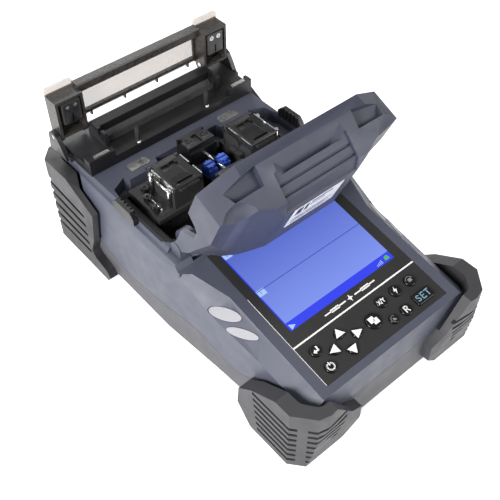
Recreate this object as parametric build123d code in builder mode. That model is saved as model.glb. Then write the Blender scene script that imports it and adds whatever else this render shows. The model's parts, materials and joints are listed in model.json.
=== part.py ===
from build123d import *
from math import cos, radians, sin, tan
import os

os.makedirs("parts", exist_ok=True)

# Fibre fusion splicer. Millimetres, +Z up, +Y to the rear, origin on the ground at the centre.

# --- driving dimensions -------------------------------------------------------------------
LENGTH = 218.5           # over the front and rear bumpers
WIDTH = 129.0            # over the side faces of the bumpers
BASE_FLOOR = 2.5         # underside of the lower casing
DECK = 65.0              # level of the rear deck
TUB_FLOOR = 57.0         # floor of the tub around the splicing stage
WALL = 2.6               # thickness of the casings
BODY_FRONT = -101.2      # front face of the casings
BODY_REAR = 102.0        # rear face of the casings
BODY_HALF = 59.3         # half width of the casings beside the tub
GAP = 0.3                # clearance between parts that only lie near each other
PANEL_TILT = 10.07       # slope of the operating panel
PANEL_FRONT = -97.2      # front edge of the glass
PANEL_LOW = 43.6         # height of the glass at its front edge
PANEL_HALF = 41.2        # half width of the glass
PANEL_DEPTH = 86.6       # length of the glass along the slope
GLASS = 1.6              # thickness of the glass
SCREEN_HALF = 35.0       # half width of the display window
SCREEN_NEAR = 30.7       # near edge of the display, along the slope from the glass edge
SCREEN_FAR = 85.3        # far edge of the display
FIBRE_Y = 31.4           # the fibre runs along X at this depth
FIBRE_Z = 67.5           # and at this height
LID_AXIS_Y = -4.0        # hinge axis of the wind cover
LID_AXIS_Z = 66.7
LID_OPEN = 113.0         # how far the wind cover stands open, degrees
HEATER_AXIS_Y = 95.0     # hinge axis of the heater cover
HEATER_AXIS_Z = 76.4

PANEL = Plane(
    origin=(0, PANEL_FRONT, PANEL_LOW),
    x_dir=(1, 0, 0),
    z_dir=(0, -sin(radians(PANEL_TILT)), cos(radians(PANEL_TILT))),
)
# Local x of this plane runs rearwards along the closed wind cover, local y runs up from it.
LID = Plane(
    origin=(0, LID_AXIS_Y, LID_AXIS_Z),
    x_dir=(0, cos(radians(LID_OPEN)), sin(radians(LID_OPEN))),
    z_dir=(1, 0, 0),
)
# The same frame seen from above the closed cover: local x is +X, local y runs rearwards.
LID_TOP = Plane(
    origin=(0, LID_AXIS_Y, LID_AXIS_Z),
    x_dir=(1, 0, 0),
    z_dir=(0, -sin(radians(LID_OPEN)), cos(radians(LID_OPEN))),
)
# And from behind the closed cover: local x is +X, local y runs up.
LID_END = Plane(
    origin=(0, LID_AXIS_Y, LID_AXIS_Z),
    x_dir=(1, 0, 0),
    z_dir=(0, -cos(radians(LID_OPEN)), -sin(radians(LID_OPEN))),
)


def keep(piece, name):
    """Label a finished piece and write it to its own file."""
    piece.part.label = name
    export_step(piece.part, f"parts/{name}.step")
    return piece.part


def panel_height(y):
    """Height of the operating panel's plane at a depth y."""
    return PANEL_LOW + (y - PANEL_FRONT) * tan(radians(PANEL_TILT))


def outline(points, radius=0.0, corners=None):
    """A closed face from the half outline on the +X side, mirrored to -X."""
    full = points + [(-x, y) for x, y in reversed(points)]
    with BuildSketch(mode=Mode.PRIVATE) as face:
        with BuildLine():
            Polyline(*full, close=True)
        make_face()
        if radius:
            picked = face.vertices()
            if corners:
                picked = [v for v in picked if (abs(v.X), v.Y) in corners]
            fillet(picked, radius)
    return face.sketch


# Plan of the casings: narrow at the front, full width beside the tub, narrow again behind it.
BODY_PLAN_POINTS = [
    (50.0, BODY_FRONT),
    (54.4, BODY_FRONT + 6),
    (54.8, -66),
    (56.4, -36),
    (BODY_HALF, 2),
    (BODY_HALF, 72),
    (55.5, 80),
    (55.5, BODY_REAR - 6),
    (49.5, BODY_REAR),
]


def body_plan(inset):
    with BuildSketch(mode=Mode.PRIVATE) as plan:
        add(outline(BODY_PLAN_POINTS))
        fillet(plan.vertices(), 3.0)
        if inset:
            offset(amount=-inset, kind=Kind.INTERSECTION)
    return plan.sketch


REACH = 80               # half width of cutting shapes that pass right through


def parting_region(upper, gap):
    """Side view of what lies above (or below) the wavy parting line of the casings."""
    shift = gap
    wave = [
        (-125, 24.5), (-100, 24.5), (-65, 24), (-51, 16.6), (-27, 22), (-4, 22),
        (21, 18), (38, 16.5), (64, 21), (100, 24), (125, 24),
    ]
    far = 160 if upper else -20
    with BuildSketch(mode=Mode.PRIVATE) as region:
        with BuildLine():
            curve = Spline(*[(y, z + shift) for y, z in wave])
            Polyline(curve @ 1, (125, far), (-125, far), curve @ 0)
        make_face()
    return region.sketch


# --- casings ------------------------------------------------------------------------------
def make_base_shell():
    with BuildPart() as base:
        with BuildSketch(Plane.XY.offset(BASE_FLOOR)):
            add(body_plan(0))
        extrude(amount=26)
        chamfer(base.faces().sort_by(Axis.Z)[0].edges(), 1.8)
        with BuildSketch(Plane.YZ):
            add(parting_region(True, 0.0))
        extrude(amount=REACH, both=True, mode=Mode.SUBTRACT)
        with BuildSketch(Plane.XY.offset(BASE_FLOOR + WALL)):
            add(body_plan(WALL))
        extrude(amount=40, mode=Mode.SUBTRACT)
        # battery bay through the floor
        with BuildSketch(Plane.XY.offset(BASE_FLOOR - 1)):
            with Locations((0, -50)):
                Rectangle(66, 66)
        extrude(amount=6, mode=Mode.SUBTRACT)
        # tripod boss
        with BuildSketch(Plane.XY.offset(BASE_FLOOR)):
            with Locations((0, 20)):
                Circle(9)
        extrude(amount=11)
        with BuildSketch(Plane.XY.offset(BASE_FLOOR - 1)):
            with Locations((0, 20)):
                Circle(5.5)
        extrude(amount=9.5, mode=Mode.SUBTRACT)
        # screw bosses
        with BuildSketch(Plane.XY.offset(BASE_FLOOR)):
            with Locations(*SCREW_SPOTS):
                Circle(4)
        extrude(amount=11)
        with BuildSketch(Plane.XY.offset(BASE_FLOOR - 1)):
            with Locations(*SCREW_SPOTS):
                Circle(2.9)
        extrude(amount=5.2, mode=Mode.SUBTRACT)
        with BuildSketch(Plane.XY.offset(BASE_FLOOR)):
            with Locations(*SCREW_SPOTS):
                Circle(1.6)
        extrude(amount=20, mode=Mode.SUBTRACT)
        # opening for the power inlet
        with BuildSketch(Plane.XZ.offset(-BODY_REAR - 2)):
            with Locations(INLET_SPOT):
                RectangleRounded(12.4, 11.4, 1.5)
        extrude(amount=8, mode=Mode.SUBTRACT)
    return base


ROOF = 52.0              # inside height of the casings beside the stage
SCREW_SPOTS = [(-44, -60), (44, -60), (-46, -6), (46, -6), (-44, 84), (44, 84)]
BOSS_TOPS = [46, 46, 53, 53, 53, 53]
INLET_SPOT = (26, 13.5)

# Plan of the tub around the stage; the deck steps forward behind each clamp.
TUB_POINTS = [
    (50.0, 0.0),
    (55.0, 6.0),
    (55.0, 42.0),
    (53.0, 45.0),
    (52.0, 51.0),
    (43.2, 55.6),
    (41.4, 52.0),
    (22.5, 52.0),
    (21.0, 57.5),
]
WELL_POINTS = [(45.0, 6.0), (48.5, 9.5), (48.5, 50.8)]


def make_upper_housing():
    side_cut = 40
    with BuildPart() as house:
        with BuildSketch(Plane.XY.offset(12)):
            add(body_plan(0))
        extrude(amount=DECK - 12)
        # everything above the sloping front
        with BuildSketch(Plane.YZ):
            with BuildLine():
                Polyline(
                    (-130, panel_height(-130)),
                    (-10.5, panel_height(-10.5)),
                    (-9.0, 62.2),
                    (0, 62.2),
                    (0, 90),
                    (-130, 90),
                    close=True,
                )
            make_face()
        extrude(amount=80, both=True, mode=Mode.SUBTRACT)
        # shoulders beside the deck and the tub
        with BuildSketch(Plane.XZ.offset(-130)):
            for side in (-1, 1):
                with BuildLine():
                    Polyline(
                        (side * 54.7, DECK + 1),
                        (side * 54.7, DECK - 0.2),
                        (side * 56.0, 62.6),
                        (side * 57.6, 62.0),
                        (side * BODY_HALF, 57.8),
                        (side * 62, 54),
                        (side * 70, 54),
                        (side * 70, DECK + 1),
                        close=True,
                    )
                make_face()
        extrude(amount=139, mode=Mode.SUBTRACT)
        # slopes at the sides of the operating panel, fading out beside the tub
        for side in (-1, 1):
            with BuildPart(mode=Mode.PRIVATE) as slope:
                sections = []
                for along, inner, drop in ((-20, 47, 0), (62, 47, 0), (86.5, 57.8, 3.5)):
                    plane = Plane(
                        origin=PANEL.from_local_coords((0, along, 0)),
                        x_dir=(1, 0, 0),
                        z_dir=PANEL.y_dir,
                    )
                    with BuildSketch(plane, mode=Mode.PRIVATE) as section:
                        with BuildLine():
                            Polyline(
                                (side * (inner - 3), -3 + drop),
                                (side * inner, drop),
                                (side * (inner + side_cut), drop + side_cut * 0.97),
                                (side * (inner + side_cut), -6),
                                close=True,
                            )
                        make_face()
                    sections.append(section.sketch)
                loft(sections, ruled=True)
            add(slope.part, mode=Mode.SUBTRACT)
        # below the parting line
        with BuildSketch(Plane.YZ):
            add(parting_region(False, 0.25))
        extrude(amount=REACH, both=True, mode=Mode.SUBTRACT)
        # hollow inside
        with BuildSketch(Plane.YZ):
            with BuildLine():
                Polyline(
                    (BODY_FRONT + WALL, 0),
                    (BODY_FRONT + WALL, 37.5),
                    (-11, ROOF),
                    (BODY_REAR - WALL, ROOF),
                    (BODY_REAR - WALL, 0),
                    close=True,
                )
            make_face()
        extrude(amount=49.5, both=True, mode=Mode.SUBTRACT)
        # bosses that take the screws of the base
        for (x, y), top in zip(SCREW_SPOTS, BOSS_TOPS):
            with BuildSketch(Plane.XY.offset(14)):
                with Locations((x, y)):
                    Circle(3.2)
            extrude(amount=top - 14)
            with BuildSketch(Plane.XY.offset(13)):
                with Locations((x, y)):
                    Circle(1.5)
            extrude(amount=8, mode=Mode.SUBTRACT)
        # tub and well
        with BuildSketch(Plane.XY.offset(TUB_FLOOR)):
            add(outline(TUB_POINTS))
        extrude(amount=20, mode=Mode.SUBTRACT)
        with BuildSketch(Plane.XY.offset(40)):
            add(outline(WELL_POINTS))
        extrude(amount=30, mode=Mode.SUBTRACT)
        # seat of the glass, with windows for the display and the key stems
        with BuildSketch(PANEL.offset(-GLASS)):
            with Locations((0, PANEL_DEPTH / 2)):
                Rectangle(2 * PANEL_HALF + 0.1, PANEL_DEPTH + 0.1)
        extrude(amount=10, mode=Mode.SUBTRACT)
        with BuildSketch(PANEL.offset(-12)):
            with Locations((0, (SCREEN_NEAR + SCREEN_FAR) / 2)):
                Rectangle(76, SCREEN_FAR - SCREEN_NEAR + 4)
        extrude(amount=12, mode=Mode.SUBTRACT)
        with BuildSketch(PANEL.offset(-12)):
            with Locations((0, 11)):
                Rectangle(79, 19.5)
        extrude(amount=12, mode=Mode.SUBTRACT)
        # room for the rolling front edge of the wind cover
        with BuildSketch(Plane.YZ):
            with Locations((LID_AXIS_Y, LID_AXIS_Z)):
                Circle(9.6)
        extrude(amount=48.4, both=True, mode=Mode.SUBTRACT)
        # hinge bores for the wind cover in two small towers
        with BuildSketch(Plane.XY.offset(TUB_FLOOR - 2)):
            with Locations((-51.2, LID_AXIS_Y), (51.2, LID_AXIS_Y)):
                Rectangle(5.2, 7)
        extrude(amount=LID_AXIS_Z + 3.5 - TUB_FLOOR + 2)
        towers = house.edges().filter_by(Axis.X).group_by(Axis.Z)[-1]
        fillet(towers, 3.0)
        with BuildSketch(Plane.YZ):
            with Locations((LID_AXIS_Y, LID_AXIS_Z)):
                Circle(2.0)
        extrude(amount=52.2, both=True, mode=Mode.SUBTRACT)
        # recesses of the silver latch plates
        with BuildSketch(Plane.XY.offset(DECK - 1.0)):
            for side in (-1, 1):
                add(latch_outline(side, 0.0))
        extrude(amount=3, mode=Mode.SUBTRACT)
        # recesses of the oval inlays
        for side in (-1, 1):
            for place, length, width in OVALS:
                with BuildSketch(oval_plane(side, place).offset(-1.0)):
                    Ellipse(length, width)
                extrude(amount=3.0, mode=Mode.SUBTRACT)
        # seats of the fibre guides
        with BuildSketch(Plane.XY.offset(62.4)):
            with Locations((-56.6, 34.2), (56.6, 34.2)):
                Rectangle(3.8, 19.2)
        extrude(amount=10, mode=Mode.SUBTRACT)
    return house


OVALS = [((52.4, -38.8), 9.4, 3.3), ((52.4, -51.7), 9.0, 2.5)]   # place, half length, half width


def oval_plane(side, place):
    """Plane on the side slope at one oval, local x along the oval."""
    x, y = place
    height = panel_height(y) + (47 - x) * 0.97
    tilt = radians(44.1)
    normal = Vector(side * sin(tilt), -sin(radians(PANEL_TILT)) * cos(tilt), cos(tilt))
    along = Vector(-side * 0.36, -0.91, 0.19)
    return Plane(origin=(side * x, y, height), x_dir=along - normal * along.dot(normal), z_dir=normal)


def latch_outline(side, inset):
    with BuildSketch(mode=Mode.PRIVATE) as shape:
        with BuildLine():
            Polyline(
                (side * 24.3, 57.2), (side * 26, 56.2), (side * 37.2, 56.2),
                (side * 37.2, 62.4), (side * 25.5, 62.4), (side * 24.3, 61.2), close=True,
            )
        make_face()
        if inset:
            offset(amount=-inset, kind=Kind.INTERSECTION)
    return shape.sketch


# --- bumpers ------------------------------------------------------------------------------
HALF_W = WIDTH / 2
HALF_L = LENGTH / 2


def body_block(grow, low, high):
    """The casings' plan grown by a clearance, as a block between two heights."""
    with BuildPart(mode=Mode.PRIVATE) as block:
        with BuildSketch(Plane.XY.offset(low)):
            add(body_plan(-grow))
        extrude(amount=high - low)
    return block.part


def make_front_bumper(side):
    plan = [
        (side * 50, -60),
        (side * HALF_W, -60),
        (side * HALF_W, -97.5),
        (side * 56, -HALF_L + 1.6),
        (side * 50, -HALF_L),
        (side * 24, -HALF_L + 3),
        (side * 24, -94),
        (side * 50, -94),
    ]
    with BuildPart() as bumper:
        with BuildSketch():
            with BuildLine():
                Polyline(*plan, close=True)
            make_face()
        extrude(amount=44)
        # side view: the top edge drops towards the rear end, the foot is rounded
        with BuildSketch(Plane.YZ):
            with BuildLine():
                Polyline((-120, 50), (-120, 44), (-88, 44), (-72, 34), (-62.5, 25),
                         (-61.5, 12), (-71, 0), (-50, -5), (-50, 50), close=True)
            make_face()
        extrude(amount=90, both=True, mode=Mode.SUBTRACT)
        # front view: the top edge drops towards the middle
        with BuildSketch(Plane.XZ):
            with BuildLine():
                Polyline((side * 46, 50), (side * 46, 44), (side * 33, 26), (side * 25, 21),
                         (side * 25, 10), (side * 34, 0), (side * 10, -5), (side * 10, 50), close=True)
            make_face()
        extrude(amount=130, mode=Mode.SUBTRACT)
        # foot tapers in at the front
        with BuildSketch(Plane.YZ):
            with BuildLine():
                Polyline((-120, -1), (-104.6, -1), (-HALF_L + 0.2, 32), (-120, 36), close=True)
            make_face()
        extrude(amount=90, both=True, mode=Mode.SUBTRACT)
        # ribs: horizontal grooves in the outer skin, left standing at the corner spine
        for level in range(7):
            height = 4.0 + 4.6 * level
            with BuildSketch(Plane.XY.offset(height)):
                with BuildLine():
                    Polyline(
                        (side * 70, -76 + 0.6 * level), (side * (HALF_W - 1.5), -76 + 0.6 * level),
                        (side * (HALF_W - 1.5), -97.2), (side * 61.3, -99.9), (side * 66, -104.5),
                        close=True,
                    )
                make_face()
                with BuildLine():
                    Polyline(
                        (side * 58.5, -103.6), (side * 55.2, -107.2), (side * 49.5, -HALF_L + 2.1),
                        (side * (36 + 3.0 * (6 - level) * 0.4), -HALF_L + 3.4),
                        (side * (36 + 3.0 * (6 - level) * 0.4), -120), (side * 66, -120), close=True,
                    )
                make_face()
            extrude(amount=2.1, mode=Mode.SUBTRACT)
        # seat around the casings: tight on the base, a shadow gap above the parting line
        add(body_block(0.0, -1, 26), mode=Mode.SUBTRACT)
        add(body_block(2.2, 26, 60), mode=Mode.SUBTRACT)
    return bumper


def make_rear_bumper(side):
    plan = [
        (side * 44, 40),
        (side * HALF_W, 40),
        (side * HALF_W, 101.5),
        (side * 57.5, HALF_L - 0.4),
        (side * 50, HALF_L),
        (side * 36, HALF_L),
        (side * 36, 95),
        (side * 44, 95),
    ]
    with BuildPart() as bumper:
        with BuildSketch():
            with BuildLine():
                Polyline(*plan, close=True)
            make_face()
        extrude(amount=60)
        # side view: sloping front edge over a lobe that reaches forward at the foot
        with BuildSketch(Plane.YZ):
            with BuildLine():
                Polyline((30, 70), (120, 70), (120, 59), (80, 60), (57, 49), (61, 27),
                         (66, 15), (63, 11), (53, 8), (50, 4), (53, 0), (30, -5), close=True)
            make_face()
        extrude(amount=90, both=True, mode=Mode.SUBTRACT)
        # ribs: long grooves that fan out towards the rear
        fan = [(45.3, 41.0), (36.6, 33.6), (28.4, 26.4), (20.4, 19.4), (12.8, 12.6)]
        for rear_z, front_z in fan:
            with BuildSketch(Plane.YZ.offset(side * (HALF_W - 2.0))):
                with BuildLine():
                    Polyline((120, rear_z + 1.6), (68, front_z + 1.2), (66.5, front_z),
                             (68, front_z - 1.2), (120, rear_z - 1.6), close=True)
                make_face()
            extrude(amount=side * 10, mode=Mode.SUBTRACT)
        # and across the rear corner
        for rear_z, _ in fan:
            with BuildSketch(Plane.XY.offset(rear_z - 1.6)):
                with BuildLine():
                    Polyline(
                        (side * 70, 99.0), (side * (HALF_W - 2.0), 99.0), (side * (HALF_W - 2.0), 100.8),
                        (side * 56.6, HALF_L - 2.2), (side * 44, HALF_L - 2.0), (side * 44, 120),
                        (side * 70, 120), close=True,
                    )
                make_face()
            extrude(amount=3.2, mode=Mode.SUBTRACT)
        add(body_block(0.0, -1, 26), mode=Mode.SUBTRACT)
        add(body_block(1.6, 26, 70), mode=Mode.SUBTRACT)
    return bumper


# --- pieces in and under the casings ----------------------------------------------------------
def make_base_screws():
    with BuildPart() as screws:
        for x, y in SCREW_SPOTS:
            with BuildSketch(Plane.XY.offset(4.3)):
                with Locations((x, y)):
                    Circle(2.7)
                    RegularPolygon(1.2, 6, mode=Mode.SUBTRACT)
            extrude(amount=1.2)
            with BuildSketch(Plane.XY.offset(5.5)):
                with Locations((x, y)):
                    Circle(2.7)
            extrude(amount=1.2)
            with BuildSketch(Plane.XY.offset(6.7)):
                with Locations((x, y)):
                    Circle(1.5)
            extrude(amount=12)
    return screws


def make_tripod_socket():
    with BuildPart() as socket:
        with BuildSketch(Plane.XY.offset(BASE_FLOOR + 0.2)):
            with Locations((0, 20)):
                Circle(5.5)
                Circle(2.6, mode=Mode.SUBTRACT)
        extrude(amount=8.2)
    return socket


def make_battery_pack():
    with BuildPart() as battery:
        with BuildSketch(Plane.XY.offset(BASE_FLOOR + 0.3)):
            with Locations((0, -50)):
                RectangleRounded(65.4, 65.4, 1.5)
        extrude(amount=2.3)
        with BuildSketch(Plane.XY.offset(BASE_FLOOR + 2.6)):
            with Locations((0, -50)):
                RectangleRounded(60, 60, 3)
        extrude(amount=18)
        with BuildSketch(Plane.XY.offset(BASE_FLOOR)):
            with Locations((0, -28)):
                SlotOverall(22, 7)
        extrude(amount=1.2, mode=Mode.SUBTRACT)
    return battery


def make_main_board():
    with BuildPart() as board:
        with BuildSketch(Plane.XY.offset(25)):
            with Locations((0, -50)):
                Rectangle(76, 80)
        extrude(amount=1.6)
        with BuildSketch(Plane.XY.offset(26.6)):
            with Locations((-22, -60), (18, -34)):
                Rectangle(22, 22)
            with Locations((20, -70)):
                Rectangle(14, 18)
        extrude(amount=2.2)
        with BuildSketch(Plane.XY.offset(26.6)):
            with Locations((-28, -20), (-28, -32)):
                Rectangle(16, 6)
        extrude(amount=6)
    return board


def make_arc_unit():
    with BuildPart() as unit:
        with BuildSketch(Plane.XY.offset(8)):
            with Locations((-10, 84)):
                RectangleRounded(46, 25, 2)
        extrude(amount=28)
        with BuildSketch(Plane.XY.offset(36)):
            with Locations((-22, 84), (2, 84)):
                Circle(5)
        extrude(amount=6)
        fillet(unit.edges().group_by(Axis.Z)[-1], 1.0)
    return unit


def make_drive_motors():
    with BuildPart() as motors:
        for side in (-1, 1):
            with BuildSketch(Plane.YZ.offset(side * 24)):
                with Locations((FIBRE_Y + 4, 34)):
                    RectangleRounded(15, 15, 2)
            extrude(amount=side * 20)
            with BuildSketch(Plane.YZ.offset(side * 16)):
                with Locations((FIBRE_Y + 4, 34)):
                    Circle(1.5)
            extrude(amount=side * 8)
    return motors


def make_microscopes():
    """Two microscopes below the stage that look up at the fibre from front and rear."""
    with BuildPart() as scopes:
        for lean in (-1, 1):
            aim = Vector(0, lean * sin(radians(38)), -cos(radians(38)))
            start = Vector(0, FIBRE_Y, FIBRE_Z) + aim * 35
            barrel = Plane(origin=start, x_dir=(1, 0, 0), z_dir=aim)
            with BuildSketch(barrel):
                Circle(5.5)
            extrude(amount=12)
            with BuildSketch(barrel.offset(12)):
                Rectangle(12, 10)
            extrude(amount=6)
    return scopes


def make_power_inlet():
    with BuildPart() as inlet:
        with BuildSketch(Plane.XZ.offset(-BODY_REAR + 0.4)):
            with Locations(INLET_SPOT):
                RectangleRounded(12, 11, 1.3)
                Circle(3.1, mode=Mode.SUBTRACT)
        extrude(amount=11)
        with BuildSketch(Plane.XZ.offset(-BODY_REAR + 11.4)):
            with Locations(INLET_SPOT):
                RectangleRounded(12, 11, 1.3)
        extrude(amount=1.5)
        with BuildSketch(Plane.XZ.offset(-BODY_REAR + 3.4)):
            with Locations(INLET_SPOT):
                Circle(1.0)
        extrude(amount=9)
    return inlet


def make_side_inlays():
    with BuildPart() as inlays:
        for side in (-1, 1):
            for place, length, width in OVALS:
                with BuildSketch(oval_plane(side, place).offset(-0.95)):
                    Ellipse(length - 0.25, width - 0.25)
                extrude(amount=1.15)
    return inlays


# --- operating panel --------------------------------------------------------------------------
# Keys on the glass: name, place along X, place up the slope, radius of the cap.
ROUND_KEYS = [
    ("key_enter", -33.5, 16.2, 3.0),
    ("key_power", -33.3, 6.0, 3.0),
    ("key_pages", -0.2, 11.0, 4.2),
    ("key_axis", 10.4, 16.2, 3.1),
    ("key_arc", 20.6, 16.4, 3.1),
    ("key_heat", 30.9, 16.2, 3.1),
    ("key_dark", 8.7, 5.6, 2.5),
    ("key_reset", 17.4, 5.6, 3.1),
]
ARROW_CENTRE = (-18.6, 11.1)
ARROW_REACH = (7.4, 4.9)
ARROW_KEYS = [("key_up", 0, 1), ("key_down", 0, -1), ("key_left", -1, 0), ("key_right", 1, 0)]
SET_SPOT = (30.0, 6.2)
SET_SIZE = (11.4, 6.4)
KEY_TRAVEL = 0.8
KEY_PROUD = 1.0


def key_outlines():
    """Every key as (name, place, sketch of its cap, sketch of its hole)."""
    rows = []
    for name, x, v, radius in ROUND_KEYS:
        rows.append((name, (x, v), ("round", radius)))
    for name, right, up in ARROW_KEYS:
        spot = (ARROW_CENTRE[0] + right * ARROW_REACH[0], ARROW_CENTRE[1] + up * ARROW_REACH[1])
        rows.append((name, spot, ("round", 2.45)))
    rows.append(("key_set", SET_SPOT, ("box", SET_SIZE)))
    return rows


def cap_sketch(kind, size, grow):
    with BuildSketch(mode=Mode.PRIVATE) as cap:
        if kind == "round":
            Circle(size + grow)
        else:
            RectangleRounded(size[0] + 2 * grow, size[1] + 2 * grow, 1.2)
    return cap.sketch


def make_screen_glass():
    with BuildPart() as glass:
        with BuildSketch(PANEL.offset(-GLASS)):
            with Locations((0, PANEL_DEPTH / 2)):
                RectangleRounded(2 * PANEL_HALF, PANEL_DEPTH, 0.6)
        extrude(amount=GLASS)
        chamfer(glass.faces().filter_by(Axis(origin=(0, 0, 0), direction=PANEL.z_dir)).sort_by(Axis.Z)[-1].edges(), 0.2)
        with BuildSketch(PANEL.offset(-GLASS - 1)):
            for _, spot, shape in key_outlines():
                with Locations(spot):
                    add(cap_sketch(*shape, 0.15))
        extrude(amount=GLASS + 3, mode=Mode.SUBTRACT)
    return glass


def make_key(spot, shape):
    kind, size = shape
    flange = 0.5
    with BuildPart() as key:
        with BuildSketch(PANEL.offset(-GLASS - 0.05)):
            with Locations(spot):
                add(cap_sketch(kind, size, 0))
        extrude(amount=GLASS + 0.05 + KEY_PROUD)
        top = key.faces().filter_by(Axis(origin=(0, 0, 0), direction=PANEL.z_dir)).sort_by(Axis.Z)[-1]
        fillet(top.edges(), 0.45)
        with BuildSketch(PANEL.offset(-GLASS - 1.0)):
            with Locations(spot):
                add(cap_sketch(kind, size, -flange))
        extrude(amount=0.95)
    return key


def make_lcd_module():
    with BuildPart() as lcd:
        with BuildSketch(PANEL.offset(-GLASS - 4.6)):
            with Locations((0, (SCREEN_NEAR + SCREEN_FAR) / 2)):
                Rectangle(75.4, SCREEN_FAR - SCREEN_NEAR + 3.4)
        extrude(amount=4.5)
    return lcd


def make_keypad_board():
    with BuildPart() as board:
        with BuildSketch(PANEL.offset(-GLASS - 4.2)):
            with Locations((0, 11)):
                Rectangle(78.4, 18.9)
        extrude(amount=1.2)
        with BuildSketch(PANEL.offset(-GLASS - 3.0)):
            for _, spot, _ in key_outlines():
                with Locations(spot):
                    Circle(1.4)
        extrude(amount=1.1)
    return board


# --- splicing stage -----------------------------------------------------------------------------
TRAY_FLOOR = 44.0


def make_stage_tray():
    with BuildPart() as tray:
        with BuildSketch(Plane.XY.offset(TRAY_FLOOR)):
            add(outline(WELL_POINTS))
            offset(amount=-0.1, kind=Kind.INTERSECTION)
        extrude(amount=TUB_FLOOR - TRAY_FLOOR + 0.4)
        with BuildSketch(Plane.XY.offset(TUB_FLOOR)):
            add(outline(WELL_POINTS))
            offset(amount=0.8, kind=Kind.INTERSECTION)
        extrude(amount=0.4)
        with BuildSketch(Plane.XY.offset(TRAY_FLOOR + 2)):
            add(outline(WELL_POINTS))
            offset(amount=-1.8, kind=Kind.INTERSECTION)
        extrude(amount=20, mode=Mode.SUBTRACT)
        # pedestal of the V-groove blocks and the electrodes
        with BuildSketch(Plane.XY.offset(TRAY_FLOOR + 1)):
            with Locations((0, FIBRE_Y)):
                Rectangle(13.6, 34)
        extrude(amount=61.5 - TRAY_FLOOR - 1)
        with BuildSketch(Plane.XY.offset(61.5)):
            with Locations((0, FIBRE_Y)):
                Rectangle(15, 5)
        extrude(amount=-16)
        # rear block under the electrode cover
        with BuildSketch(Plane.XY.offset(TUB_FLOOR + 0.1)):
            with Locations((0, FIBRE_Y + 17.4)):
                Rectangle(20, 11)
        extrude(amount=5.5)
        with BuildSketch(Plane.XY.offset(TUB_FLOOR + 0.1)):
            with Locations((0, FIBRE_Y - 17.4)):
                Rectangle(18, 11)
        extrude(amount=5.5)
        # the microscopes look up at the fibre through two slanting bores
        for lean in (-1, 1):
            aim = Vector(0, lean * sin(radians(38)), -cos(radians(38)))
            with BuildSketch(Plane(origin=(0, FIBRE_Y, FIBRE_Z), x_dir=(1, 0, 0), z_dir=aim)):
                Circle(2.4)
            extrude(amount=36, mode=Mode.SUBTRACT)
    return tray


CLAMP_IN = 16.0
CLAMP_OUT = 35.0
CLAMP_FRONT = 21.5
CLAMP_REAR = 42.3
CLAMP_TOP = 75.6
CLAMP_PIN_Y = 43.6
CLAMP_PIN_Z = 72.6


def across(side, a, b):
    """Middle and length of the span from a to b on one side of the centre plane."""
    return side * (a + b) / 2, abs(b - a)


def make_carriage(side):
    with BuildPart() as carriage:
        middle, span = across(side, 14.4, 45.6)
        with BuildSketch(Plane.XY.offset(TRAY_FLOOR + 2.1)):
            with Locations((middle, 31.5)):
                Rectangle(span, 14)
        extrude(amount=58 - TRAY_FLOOR - 2.1)
        middle, span = across(side, 15.4, 45.6)
        with BuildSketch(Plane.XY.offset(58)):
            with Locations((middle, 34.4)):
                Rectangle(span, 27.2)
        extrude(amount=4.4)
        chamfer(carriage.faces().sort_by(Axis.Z)[-1].edges().sort_by(Axis.Y)[0], 1.6)
        # block that carries the sheath clamp
        middle, span = across(side, CLAMP_IN, CLAMP_OUT)
        with BuildSketch(Plane.XY.offset(62)):
            with Locations((middle, (CLAMP_FRONT + CLAMP_REAR) / 2)):
                Rectangle(span - 0.4, CLAMP_REAR - CLAMP_FRONT)
        extrude(amount=72.2 - 62)
        # lugs of the clamp hinge
        for a, b in ((CLAMP_IN, 18.0), (33.0, CLAMP_OUT)):
            middle, span = across(side, a, b)
            with BuildSketch(Plane.YZ.offset(middle - span / 2)):
                with Locations((CLAMP_PIN_Y, CLAMP_PIN_Z)):
                    Circle(2.2)
                with Locations((CLAMP_PIN_Y - 0.6, 67)):
                    Rectangle(3.2, 11)
            extrude(amount=span)
        # room for the knuckle of the clamp lid
        middle, span = across(side, 18.0, 33.0)
        with BuildSketch(Plane.YZ.offset(middle - span / 2)):
            with Locations((CLAMP_PIN_Y, CLAMP_PIN_Z)):
                Circle(2.6)
        extrude(amount=span, mode=Mode.SUBTRACT)
        # fibre groove through the block
        with BuildSketch(Plane.YZ):
            with BuildLine():
                Polyline((FIBRE_Y, FIBRE_Z - 0.3), (FIBRE_Y - 2.2, 73), (FIBRE_Y + 2.2, 73), close=True)
            make_face()
        extrude(amount=side * 60, mode=Mode.SUBTRACT)
        # bore of the hinge pin
        with BuildSketch(Plane.YZ):
            with Locations((CLAMP_PIN_Y, CLAMP_PIN_Z)):
                Circle(1.0)
        extrude(amount=side * 60, mode=Mode.SUBTRACT)
        # cap screws beside the clamp
        for x, y in ((41.5, 27.5), (41.5, 36.5), (38.4, 43.0)):
            with BuildSketch(Plane.XY.offset(62.4)):
                with Locations((side * x, y)):
                    Circle(2.1)
            extrude(amount=2.0)
            with BuildSketch(Plane.XY.offset(64.4)):
                with Locations((side * x, y)):
                    RegularPolygon(1.1, 6)
            extrude(amount=-1.1, mode=Mode.SUBTRACT)
        # fibre holder in front of the V-grooves
        middle, span = across(side, 12.6, 15.6)
        with BuildSketch(Plane.XY.offset(60)):
            with Locations((middle, FIBRE_Y)):
                Rectangle(span, 9)
        extrude(amount=7.2)
        with BuildSketch(Plane.YZ):
            with BuildLine():
                Polyline((FIBRE_Y, 66.0), (FIBRE_Y - 1.6, 67.8), (FIBRE_Y + 1.6, 67.8), close=True)
            make_face()
        extrude(amount=side * 16, mode=Mode.SUBTRACT)
    return carriage


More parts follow.
